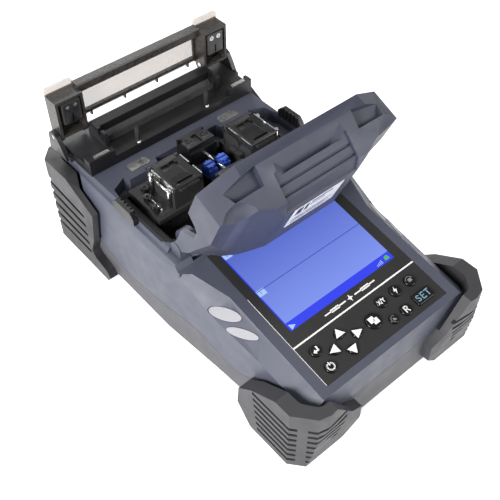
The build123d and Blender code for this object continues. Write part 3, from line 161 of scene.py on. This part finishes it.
def metal(name, colour, rough, brushed=0.0, grain=900):
    """Bare metal, brushed along X."""
    mat, tree, shader = new_material(name)
    coords = tree.nodes.new("ShaderNodeTexCoord")
    stretch = tree.nodes.new("ShaderNodeMapping")
    across = 1 + BRUSH_STRETCH * brushed
    stretch.inputs["Scale"].default_value = (1, across, across)
    tree.links.new(coords.outputs["Object"], stretch.inputs["Vector"])
    tex = tree.nodes.new("ShaderNodeTexNoise")
    tex.inputs["Scale"].default_value = grain
    tex.inputs["Detail"].default_value = 3
    tree.links.new(stretch.outputs["Vector"], tex.inputs["Vector"])
    fac = tex.outputs["Fac"]
    shade = ramp(tree, fac, [(0.3, tuple(c * 0.86 for c in colour)), (0.7, colour)])
    tree.links.new(shade, shader.inputs["Base Color"])
    uneven_roughness(tree, shader, fac, rough)
    shader.inputs["Metallic"].default_value = 1.0
    bump(tree, shader, fac, 0.12, BRUSH_DEPTH)
    return mat


# where the window of the open heater cover ends, in metres
POD_FROM_X = 0.0388         # black end pods, out from here on both sides
POD_TO_Z = 0.0990           # and up to here
BAR_FROM_Z = 0.0956         # black bar along the free edge, up from here
BAR_TO_X = 0.0400           # and in from here
RIB_TO_Y = 0.0985           # black wherever the cover stands forward of here
WINDOW_SMOKE = [(0.35, (0.25, 0.175, 0.125)), (0.7, (0.29, 0.21, 0.155))]
WINDOW_BLACK = [(0.3, (0.030, 0.027, 0.025)), (0.7, (0.042, 0.038, 0.035))]
SMOKE_ALPHA = 0.42
BLACK_ALPHA = 0.97


def heater_plastic(name):
    """Smoked window between opaque black end pods and a black bar along the free edge."""
    mat, tree, shader = new_material(name)
    x, y, z = places(tree)
    away = maths(tree, "ABSOLUTE", x)
    pods = maths(tree, "MULTIPLY", above(tree, away, POD_FROM_X, 0.0002), below(tree, z, POD_TO_Z, 0.0002))
    bar = maths(tree, "MULTIPLY", above(tree, z, BAR_FROM_Z, 0.0004), below(tree, away, BAR_TO_X, 0.0002))
    opaque = maths(tree, "MAXIMUM", maths(tree, "MAXIMUM", pods, bar), below(tree, y, RIB_TO_Y, 0.0003))
    haze = ramp(tree, noise(tree, 60, 3), WINDOW_SMOKE)
    black = ramp(tree, noise(tree, 90, 3), WINDOW_BLACK)
    tree.links.new(mix(tree, opaque, haze, black), shader.inputs["Base Color"])
    tree.links.new(to_range(tree, opaque, SMOKE_ALPHA, BLACK_ALPHA), shader.inputs["Alpha"])
    tree.links.new(to_range(tree, noise(tree, 300, 4), 0.22, 0.36, 0.35, 0.7), shader.inputs["Roughness"])
    shader.inputs["Specular IOR Level"].default_value = 0.3
    return mat


def glow(name, low, high, y_low=-0.066, y_high=-0.014):
    """A lit display colour that changes evenly along Y, in metres."""
    mat, tree, shader = new_material(name)
    fade = to_range(tree, places(tree)[1], 0.0, 1.0, y_low, y_high)
    tree.links.new(ramp(tree, fade, [(0.0, low), (1.0, high)]), shader.inputs["Emission Color"])
    shader.inputs["Emission Strength"].default_value = 1.0
    shader.inputs["Base Color"].default_value = (0.004, 0.004, 0.01, 1)
    tree.links.new(to_range(tree, noise(tree, 400, 2), 0.3, 0.4), shader.inputs["Roughness"])
    shader.inputs["Specular IOR Level"].default_value = 0.2
    return mat


PLASTICS = {                # colour, colour of the painted edge highlight, roughness, the rest
    "housing_blue": ((0.036, 0.039, 0.060), (0.085, 0.090, 0.120), 0.46, {"spec": 0.4}),
    "base_grey": ((0.046, 0.044, 0.050), (0.09, 0.09, 0.10), 0.58, {}),
    "bumper_rubber": ((0.011, 0.011, 0.0125), (0.055, 0.055, 0.06), 0.52, {"grain": 1800, "strength": 0.5}),
    "black_plastic": ((0.007, 0.007, 0.008), (0.07, 0.07, 0.075), 0.36, {}),
    "dark_metal": (
        (0.008, 0.008, 0.008), (0.10, 0.10, 0.10), 0.28, {"grain": 3500, "strength": 0.15, "metallic": 0.3}
    ),
    "panel_glass": (
        (0.022, 0.022, 0.022), (0.03, 0.03, 0.03), 0.34,
        {"grain": 50, "strength": 0.01, "highlight_strength": 0.0, "spec": 0.3},
    ),
    "lcd": ((0.02, 0.06, 0.3), (0.02, 0.06, 0.3), 0.3, {}),
    "key_black": (
        (0.003, 0.003, 0.003), (0.02, 0.02, 0.02), 0.14, {"grain": 600, "strength": 0.02, "highlight_strength": 0.2}
    ),
    "board_green": ((0.02, 0.12, 0.05), (0.05, 0.2, 0.1), 0.4, {}),
    "battery_black": ((0.022, 0.022, 0.025), (0.05, 0.05, 0.055), 0.5, {}),
    "ceramic_blue": ((0.018, 0.060, 0.36), (0.10, 0.20, 0.60), 0.3, {"strength": 0.1}),
    "foam_black": ((0.010, 0.010, 0.011), (0.02, 0.02, 0.02), 0.9, {"grain": 1200, "strength": 0.8}),
    "label_white": ((0.74, 0.74, 0.76), (0.6, 0.6, 0.6), 0.4, {"strength": 0.05}),
    "lamp": ((0.60, 0.60, 0.55), (0.8, 0.8, 0.8), 0.2, {"strength": 0.02}),
    "inlay_silver": ((0.24, 0.24, 0.26), (0.3, 0.3, 0.32), 0.50, {"grain": 3000, "strength": 0.1}),
}
METALS = {                  # colour, roughness, the rest
    "silver": ((0.62, 0.62, 0.61), 0.30, {"brushed": 0.6}),
    "steel": ((0.60, 0.60, 0.60), 0.24, {"brushed": 0.4, "grain": 1500}),
    "brass": ((0.78, 0.58, 0.28), 0.3, {}),
}
MATS = {"smoked_clear": heater_plastic("smoked_clear")}
for name, (colour, light, rough, rest) in PLASTICS.items():
    MATS[name] = plastic(name, colour, light, rough, **rest)
for name, (colour, rough, rest) in METALS.items():
    MATS[name] = metal(name, colour, rough, **rest)

for entry in frame["record"]["subparts"]:
    node = nodes[entry["node"]]
    node.data.materials.clear()
    node.data.materials.append(MATS[entry["material_slot"]])
# these screws are blackened like the clamps
nodes["electrode_cover_screws"].data.materials[0] = MATS["dark_metal"]

# --- camera -------------------------------------------------------------------------------------
CAMERA_PLACE = (-0.19456, -0.22397, 0.35438)
VIEW_DIRECTION = (0.43346, 0.50778, -0.74450)
ROLL = radians(0.31)
LENS = 58.01
SENSOR = 36

forward = Vector(VIEW_DIRECTION).normalized()
right = forward.cross(Vector((0, 0, 1))).normalized()
down = forward.cross(right)
right_rolled = right * cos(ROLL) + down * sin(ROLL)
down_rolled = down * cos(ROLL) - right * sin(ROLL)
camera = bpy.data.objects.new("camera", bpy.data.cameras.new("camera"))
camera.data.sensor_width = SENSOR
camera.data.lens = LENS
camera.data.clip_start = 0.01
camera.data.clip_end = 20
axes = Matrix((right_rolled, -down_rolled, -forward)).transposed()
camera.matrix_world = Matrix.Translation(CAMERA_PLACE) @ axes.to_4x4()
bpy.context.scene.collection.objects.link(camera)
bpy.context.scene.camera = camera

# --- floor and studio light ----------------------------------------------------------------------
FLOOR_HALF = 8              # metres
FLOOR_GLOW = 0.60
WORLD_STRENGTH = 0.32
LIGHTS = {                  # place, target, size in metres and power in watts
    "key": ((-0.85, -0.25, 0.50), (0, 0, 0.03), (0.45, 0.45), 15),
    "fill": ((0.55, -0.80, 0.40), (0, 0, 0.05), (0.6, 0.5), 5),
    "back": ((0.10, 0.90, 0.50), (0, 0, 0.06), (0.9, 0.3), 6),
    "top": ((0.1, 0.2, 1.1), (0, 0, 0), (0.5, 0.5), 2.5),
}


def area_light(name, place, target, size, power):
    data = bpy.data.lights.new(name, "AREA")
    data.shape = "RECTANGLE"
    data.size, data.size_y = size
    data.energy = power
    lamp = bpy.data.objects.new(name, data)
    lamp.location = place
    lamp.rotation_euler = (Vector(target) - Vector(place)).to_track_quat("-Z", "Y").to_euler()
    bpy.context.scene.collection.objects.link(lamp)


def make_floor():
    corners = [(FLOOR_HALF * x, FLOOR_HALF * y, 0) for x, y in ((-1, -1), (1, -1), (1, 1), (-1, 1))]
    mesh = bpy.data.meshes.new("floor")
    mesh.from_pydata(corners, [], [(0, 1, 2, 3)])
    mat, tree, shader = new_material("floor")
    pale = ramp(tree, noise(tree, 3, 2), [(0.3, (0.80, 0.80, 0.80)), (0.7, (0.83, 0.83, 0.83))])
    tree.links.new(pale, shader.inputs["Base Color"])
    shader.inputs["Roughness"].default_value = 0.8
    shader.inputs["Emission Color"].default_value = (1, 1, 1, 1)
    shader.inputs["Emission Strength"].default_value = FLOOR_GLOW
    mesh.materials.append(mat)
    return bpy.data.objects.new("floor", mesh)


floor = make_floor()
bpy.context.scene.collection.objects.link(floor)

for name, settings in LIGHTS.items():
    area_light(name, *settings)

world = bpy.data.worlds.new("world")
world.use_nodes = True
world.node_tree.nodes["Background"].inputs["Color"].default_value = (1, 1, 1, 1)
world.node_tree.nodes["Background"].inputs["Strength"].default_value = WORLD_STRENGTH
bpy.context.scene.world = world
bpy.context.scene.view_settings.view_transform = "Standard"

# --- edges of the CAD parts --------------------------------------------------------------------------
WELD_DISTANCE = 0.002       # mm
SHARP_ANGLE = radians(26)
EDGE_SEGMENTS = 3
SOFT_EDGES = {              # mm
    "wind_cover": 1.1, "upper_housing": 0.6, "base_shell": 0.8, "heater_cover": 0.5, "heater_body": 0.3,
    "electrode_covers": 0.25, "v_groove_blocks": 0.2, "fibre_guides": 0.3, "latch_plates": 0.2,
}
for hand in ("left", "right"):
    SOFT_EDGES["bumper_front_" + hand] = 0.8
    SOFT_EDGES["bumper_rear_" + hand] = 0.8
    SOFT_EDGES["clamp_lid_" + hand] = 0.25
    SOFT_EDGES["carriage_" + hand] = 0.25


def soften(node, width):
    """Round the sharp edges of a node and shade it smooth."""
    weld = node.modifiers.new("weld", "WELD")
    weld.merge_threshold = WELD_DISTANCE * MM
    bevel = node.modifiers.new("edges", "BEVEL")
    bevel.width = width * MM
    bevel.segments = EDGE_SEGMENTS
    bevel.limit_method = "ANGLE"
    bevel.angle_limit = SHARP_ANGLE
    bevel.use_clamp_overlap = True
    for poly in node.data.polygons:
        poly.use_smooth = True
    smooth = node.modifiers.new("normals", "WEIGHTED_NORMAL")
    smooth.keep_sharp = True


for node_name, radius in SOFT_EDGES.items():
    soften(nodes[node_name], radius)

# --- flat artwork --------------------------------------------------------------------------------
PANEL_TILT = radians(10.07)
PANEL_FOOT_Y, PANEL_FOOT_Z = -97.2, 43.6     # lower edge of the panel glass, mm
LID_ANGLE = radians(113)                     # how far the wind cover stands open
LID_HINGE_Y, LID_HINGE_Z = -4, 66.7          # its hinge line, mm
LIFT = 0.01                 # gap between a surface and what is printed on it, mm
PRINT = 0.05                # top of a printed mark over its surface, mm


def on_panel(x, s, h):
    """Point on the operating panel: along X, up the slope, above the glass."""
    y = PANEL_FOOT_Y + s * cos(PANEL_TILT) - h * sin(PANEL_TILT)
    z = PANEL_FOOT_Z + s * sin(PANEL_TILT) + h * cos(PANEL_TILT)
    return Vector((x, y, z)) * MM


def on_lid(x, u, v):
    """Point of the open wind cover: along X, away from its hinge, out of its top."""
    y = LID_HINGE_Y + u * cos(LID_ANGLE) - v * sin(LID_ANGLE)
    z = LID_HINGE_Z + u * sin(LID_ANGLE) + v * cos(LID_ANGLE)
    return Vector((x, y, z)) * MM


def add_piece(name, body, bm, finish):
    """Turn a built mesh into a piece that rides a body."""
    data = bpy.data.meshes.new(name)
    bm.to_mesh(data)
    bm.free()
    piece = bpy.data.objects.new(name, data)
    bpy.context.scene.collection.objects.link(piece)
    data.materials.append(finish)
    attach(piece, body)


def slabs(name, body, shapes, low, high, finish, place=on_panel):
    """One piece made of flat prisms; every shape is a list of corners in the plane."""
    bm = bmesh.new()
    for corners in shapes:
        count = len(corners)
        under = [bm.verts.new(place(x, y, low)) for x, y in corners]
        over = [bm.verts.new(place(x, y, high)) for x, y in corners]
        bm.faces.new(over)
        bm.faces.new(under[::-1])
        for i in range(count):
            j = (i + 1) % count
            bm.faces.new((under[i], under[j], over[j], over[i]))
    bmesh.ops.recalc_face_normals(bm, faces=bm.faces)
    add_piece(name, body, bm, finish)


def rect(x0, x1, y0, y1):
    return [(x0, y0), (x1, y0), (x1, y1), (x0, y1)]


def stroke(points, width):
    """Pen stroke through the points, as one four-cornered shape for each leg."""
    legs = []
    for (x0, y0), (x1, y1) in zip(points, points[1:]):
        along = Vector((x1 - x0, y1 - y0)).normalized() * width / 2
        side = Vector((-along.y, along.x))
        start = Vector((x0, y0)) - along / 2
        end = Vector((x1, y1)) + along / 2
        legs.append([tuple(corner) for corner in (start + side, start - side, end - side, end + side)])
    return legs


def arc(x, y, radius, start, end, steps=20):
    turns = [radians(start + (end - start) * i / steps) for i in range(steps + 1)]
    return [(x + radius * cos(turn), y + radius * sin(turn)) for turn in turns]


def disc(x, y, radius, steps=24):
    return arc(x, y, radius, 0, 360, steps)[:-1]


def moved(shapes, dx, dy):
    return [[(x + dx, y + dy) for x, y in corners] for corners in shapes]


# the last setting of each ink is the strength of its painted edge highlight
white = plastic("ink_white", (0.74, 0.73, 0.70), (0.8, 0.8, 0.78), 0.45, strength=0.05, highlight_strength=0.1)
dull = plastic("ink_grey", (0.20, 0.20, 0.20), (0.25, 0.25, 0.25), 0.35, strength=0.05, highlight_strength=0.1)
pale_blue = plastic("ink_pale_blue", (0.16, 0.30, 0.38), (0.3, 0.45, 0.5), 0.3, strength=0.05, highlight_strength=0.1)
ink = plastic("ink_black", (0.020, 0.020, 0.022), (0.03, 0.03, 0.03), 0.5, strength=0.05, highlight_strength=0.1)
deep_blue = glow("screen_deep_blue", (0.032, 0.056, 0.86), (0.030, 0.048, 0.80), -0.068, -0.012)
sky_blue = glow("screen_sky_blue", (0.215, 0.305, 0.86), (0.085, 0.130, 0.56), -0.064, -0.014)
icon_blue = glow("screen_icon_blue", (0.42, 0.62, 0.98), (0.38, 0.56, 0.95))
line_blue = glow("screen_line_blue", (0.045, 0.075, 0.50), (0.040, 0.065, 0.46))
leaf_green = glow("screen_green", (0.12, 0.46, 0.16), (0.10, 0.40, 0.14))

# picture on the display: two panes, a bar at either end, corner marks; mm across and up the panel
SCREEN_HALF = 35
SCREEN_FOOT = 30.7
PANES_FOOT = 35.4
PANES_TOP = 84.6
MIDDLE = 56.15              # foot of the line between the two panes
PICTURE, BARS, ICONS, LINES = 0.03, 0.04, 0.05, 0.06      # tops of the layers over the glass

picture = [rect(-SCREEN_HALF, SCREEN_HALF, PANES_FOOT, PANES_TOP)]
slabs("screen_picture", "casing", picture, LIFT, PICTURE, sky_blue)

screen_bars = [
    rect(-SCREEN_HALF, SCREEN_HALF, SCREEN_FOOT, PANES_FOOT),
    rect(-31, SCREEN_HALF, 81.6, 85.0),
    rect(-35.6, -SCREEN_HALF, SCREEN_FOOT, 85.0),
]
slabs("screen_bars", "casing", screen_bars, LIFT, BARS, deep_blue)

divider = [rect(-SCREEN_HALF, SCREEN_HALF, MIDDLE, MIDDLE + 0.4)]
for tick_foot in (54.4, 80.6):
    divider += stroke([(-33.2, tick_foot), (-33.2, tick_foot + 1.4)], 0.3)
slabs("screen_divider", "casing", divider, LIFT, LINES, line_blue)

icons = [rect(-35.2, -30.6, 53.3, 56.9), rect(-35.2, -30.6, 79.5, 83.0)]
icons += [[(-34.4, 30.9), (-31.2, 32.4), (-34.6, 34.2)]]
icons += [rect(24.2 + 1.1 * i, 24.7 + 1.1 * i, 31.4, 32.4 + 0.4 * i) for i in range(4)]
slabs("screen_icons", "casing", icons, LIFT, ICONS, icon_blue)

charge = disc(31.6, 32.8, 1.5)[:13] + [(30.0, 31.8), (33.1, 31.8)]
slabs("screen_charge", "casing", [charge], LIFT, LINES, leaf_green)

# white rule across the panel, thin rule up its left edge, sign of two fibres and a spark
slabs("panel_rule", "casing", [rect(-41.0, 41.0, 22.8, 23.6)], LIFT, PRINT, white)
slabs("panel_edge", "casing", [rect(-41.15, -40.9, 0.3, 56)], LIFT, PRINT, white)
fibres = [rect(-17, -3.0, 26.75, 27.45), rect(3.0, 17, 26.75, 27.45)]
sleeves = [rect(-13, -7.5, 26.2, 28.0), rect(7.5, 13, 26.2, 28.0)]
spark_right = [(0.0, 29.2), (0.5, 27.6), (1.9, 27.1), (0.5, 26.6), (0.0, 25.0)]
spark_left = [(-0.5, 26.6), (-1.9, 27.1), (-0.5, 27.6)]
slabs("panel_sign", "casing", fibres + sleeves + [spark_right + spark_left], LIFT, PRINT, white)

# legends of the keys: shapes round the middle of the key, mm
CAP = 1.0                   # height of a key over the glass
enter = stroke([(1.3, 1.5), (1.3, -0.5), (-0.4, -0.5)], 0.8) + [[(-0.3, 0.7), (-1.8, -0.5), (-0.3, -1.7)]]
power = stroke(arc(0, 0, 1.75, 120, 420), 0.75) + [rect(-0.3, 0.3, 0.6, 2.4)]
pages = [rect(-2.3, 0.9, -0.9, 2.3), rect(-0.7, 2.4, -2.3, 0.7)]
letter_x = stroke([(-2.1, -1.0), (-0.7, 1.0)], 0.45) + stroke([(-2.1, 1.0), (-0.7, -1.0)], 0.45)
slash = stroke([(-0.4, -1.4), (0.4, 1.4)], 0.35)
letter_y = stroke([(0.7, 1.0), (1.35, 0.0), (2.0, 1.0)], 0.45) + stroke([(1.35, 0.0), (1.35, -1.0)], 0.45)
flash = [[(0.4, 2.2), (-1.2, -0.3), (-0.1, -0.2), (-0.6, -2.2), (1.2, 0.5), (0.1, 0.4)]]
letter_r = stroke([(-0.9, -1.6), (-0.9, 1.6), (0.5, 1.6), (1.0, 0.9), (0.4, 0.1), (-0.8, 0.1)], 0.6)
letter_r += stroke([(0.0, 0.1), (1.2, -1.6)], 0.6)
hood = stroke(arc(0, 0, 2.1, 20, 160), 0.4) + [rect(-1.0, 1.2, -0.9, 0.9)]
moon = stroke(arc(0, 0, 1.7, 60, 250), 0.35) + [rect(-0.7, 0.2, -0.9, 0.5), rect(0.3, 0.9, -1.0, -0.2)]
s_top = [(-2.4, 1.2), (-3.3, 1.6), (-4.1, 1.2), (-4.1, 0.5)]
s_foot = [(-2.5, -0.4), (-2.5, -1.2), (-3.3, -1.6), (-4.2, -1.2)]
letter_s = stroke(s_top + s_foot, 0.55)
letter_e = stroke([(1.0, 1.6), (-1.0, 1.6), (-1.0, -1.6), (1.0, -1.6)], 0.6)
letter_e += stroke([(-0.9, 0.1), (0.7, 0.1)], 0.5)
letter_t = stroke([(2.0, 1.6), (4.4, 1.6)], 0.6) + stroke([(3.2, 1.4), (3.2, -1.7)], 0.6)
LEGENDS = {                 # place across and up the panel, shapes, ink
    "key_enter": (-33.5, 16.2, enter, white),
    "key_power": (-33.3, 6.0, power, white),
    "key_pages": (-0.2, 11.0, pages, white),
    "key_axis": (10.4, 16.2, letter_x + slash + letter_y, white),
    "key_arc": (20.6, 16.4, flash, white),
    "key_reset": (17.4, 5.6, letter_r, white),
    "key_heat": (30.9, 16.2, hood, dull),
    "key_dark": (8.7, 5.6, moon, dull),
    "key_set": (30.0, 6.2, letter_s + letter_e + letter_t, pale_blue),
}
for key, (x, s, shapes, colour) in LEGENDS.items():
    slabs(key + "_legend", key, moved(shapes, x, s), CAP + LIFT, CAP + PRINT, colour)

# arrow keys: dark three-cornered plate with a white arrow on it
ARROWS_X, ARROWS_S = -18.6, 11.1             # middle of the four keys
ARROW_STEP_X, ARROW_STEP_S = 7.4, 4.9
SQUASH = 0.86               # how much flatter than even-sided a triangle is
ARROW_KEYS = {              # steps across and up from the middle, turn in degrees
    "key_up": (0, 1, 90),
    "key_down": (0, -1, -90),
    "key_left": (-1, 0, 180),
    "key_right": (1, 0, 0),
}
ARROW_LAYERS = (            # reach, foot and top in mm
    ("_plate", 4.1, 0.86, 1.06, MATS["key_black"]),
    ("_arrow", 3.3, 1.05, 1.14, white),
)
for key, (across, up, turn) in ARROW_KEYS.items():
    x = ARROWS_X + ARROW_STEP_X * across
    s = ARROWS_S + ARROW_STEP_S * up
    ways = [radians(turn + a) for a in (0, 120, 240)]
    for suffix, reach, low, high, finish in ARROW_LAYERS:
        corners = [(x + reach * cos(way), s + reach * SQUASH * sin(way)) for way in ways]
        slabs(key + suffix, key, [corners], low, high, finish)

# label on the wind cover: blocks and lines with no wording
LABEL_TOP = 25.5
blocks = [rect(-13, -9.2, 38.2, 44.6), rect(-7.6, -5.4, 38.2, 44.6)]
bars = [rect(-4.2, 9.0, 43.2, 44.6), rect(-4.2, 5.0, 40.6, 41.4)]
lines = [rect(-13, 12.4 - 1.7 * (i % 3), 34.6 - 1.5 * i, 35.1 - 1.5 * i) for i in range(4)]
slabs("label_marks", "wind_cover", blocks + bars + lines, LABEL_TOP + 0.005, LABEL_TOP + 0.04, ink, on_lid)

# --- fittings on the heater rail and the stage ----------------------------------------------------
PIN_SIDES = 20
PIN_EDGE = 0.18             # rounding, as a part of the radius or the length
UPRIGHT = Matrix.Identity(4)
LYING = Matrix.Rotation(pi / 2, 4, "X")      # along Y


def pin(name, body, centre, lie, radius, length, finish):
    """Short round piece with a small rounded edge; sizes in mm."""
    bm = bmesh.new()
    bmesh.ops.create_cone(
        bm, cap_ends=True, segments=PIN_SIDES, radius1=radius * MM, radius2=radius * MM, depth=length * MM
    )
    rims = [edge for edge in bm.edges if len({round(v.co.z, 7) for v in edge.verts}) == 1]
    bmesh.ops.bevel(bm, geom=rims, offset=min(radius, length) * PIN_EDGE * MM, segments=2, affect="EDGES")
    bmesh.ops.transform(bm, matrix=Matrix.Translation(Vector(centre) * MM) @ lie, verts=bm.verts)
    for face in bm.faces:
        face.smooth = len(face.verts) == 4
    add_piece(name, body, bm, finish)


steel, silver = MATS["steel"], MATS["silver"]
STUDS_X = 36.4              # beside each sheath clamp
for hand, side in (("left", -1), ("right", 1)):
    carriage = "carriage_" + hand
    pin("rail_post_" + hand, "casing", (side * 23.4, 68.6, 75.6), UPRIGHT, 1.3, 10.6, MATS["foam_black"])
    for i, y in enumerate((24.2, 39.6)):
        pin(f"clamp_stud_{hand}_{i}", carriage, (side * STUDS_X, y, 68.0), UPRIGHT, 0.9, 11.4, steel)
        pin(f"clamp_stud_cap_{hand}_{i}", carriage, (side * STUDS_X, y, 74.2), UPRIGHT, 1.2, 1.2, silver)
    pin("clamp_rod_" + hand, carriage, (side * STUDS_X, 31.9, 73.0), LYING, 0.55, 14.0, steel)
    pin("guide_rod_" + hand, carriage, (side * 40.6, 32.0, 63.0), LYING, 0.7, 16.0, steel)
